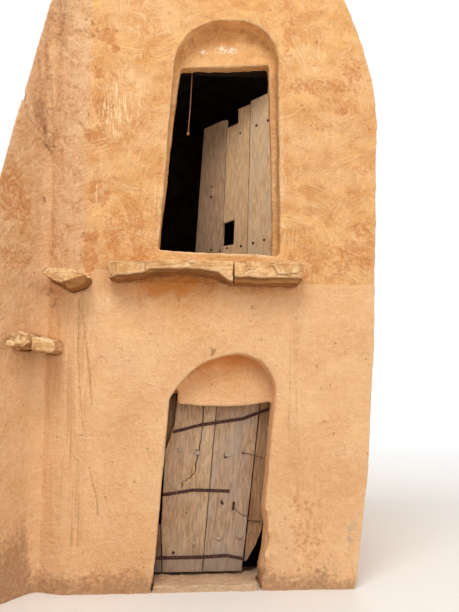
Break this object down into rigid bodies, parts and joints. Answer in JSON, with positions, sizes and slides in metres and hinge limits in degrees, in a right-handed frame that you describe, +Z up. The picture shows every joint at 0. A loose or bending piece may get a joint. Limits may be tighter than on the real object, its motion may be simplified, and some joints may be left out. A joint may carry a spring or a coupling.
{
  "type": "fortified granary",
  "caption": "Two-storey vaulted earth and stone granary cell with arched door niches, plank doors, stone ledge, climbing stones and a corner wall stump.",
  "frame": {"origin": "middle of the lower doorway's threshold, on the ground", "axes": "+Z up, -Y out of the front, +X to the right of someone who faces the front"},
  "size_m": [3.1, 4.6667, 5.35],
  "materials": {
    "earth_masonry": "rough earth plaster over rubble",
    "earth_plaster": "hand-smoothed earth plaster",
    "field_stone": "split limestone",
    "weathered_wood": "grey weathered palm and olive wood",
    "wrought_iron": "dark rusted iron",
    "plant_cord": "twisted plant fibre"
  },
  "bodies": {
    "building": {"cord_knot": "plant_cord", "corner_wing": "earth_masonry", "hanging_cord": "plant_cord", "ledge_slab_left": "field_stone", "ledge_slab_right": "field_stone", "lower_back_wall": "earth_masonry", "lower_floor": "earth_masonry", "lower_front_arch": "earth_masonry", "lower_front_left": "earth_masonry", "lower_front_right": "earth_masonry", "lower_left_wall": "earth_masonry", "lower_lintel": "weathered_wood", "lower_right_wall": "earth_masonry", "lower_tympanum": "earth_plaster", "lower_vault": "earth_masonry", "step_stone_high": "field_stone", "step_stone_low_left": "field_stone", "step_stone_low_right": "field_stone", "threshold": "field_stone", "upper_back_wall": "earth_masonry", "upper_door_battens": "weathered_wood", "upper_door_plank_left": "weathered_wood", "upper_door_plank_middle": "weathered_wood", "upper_door_plank_right": "weathered_wood", "upper_door_post": "weathered_wood", "upper_floor": "earth_masonry", "upper_front_gable": "earth_masonry", "upper_front_left": "earth_masonry", "upper_front_right": "earth_masonry", "upper_left_wall": "earth_masonry", "upper_lintel": "weathered_wood", "upper_right_wall": "earth_masonry", "upper_sill": "earth_plaster", "upper_tympanum": "earth_plaster", "upper_vault": "earth_masonry"},
    "lower_door": {"door_battens": "weathered_wood", "door_lock_stile": "weathered_wood", "door_pivot_post": "weathered_wood", "door_plank_left": "weathered_wood", "door_plank_middle": "weathered_wood", "door_plank_right": "weathered_wood", "door_strap_bottom": "wrought_iron", "door_strap_middle": "wrought_iron", "door_strap_top": "wrought_iron", "door_wedge": "weathered_wood"}
  },
  "joints": [
    {"name": "lower_door_swing", "type": "hinge", "parent": "building", "child": "lower_door", "pos_m": [-0.405, 0.095, 0.07], "axis": [0, 0, 1], "range_deg": [0, 95]}
  ]
}
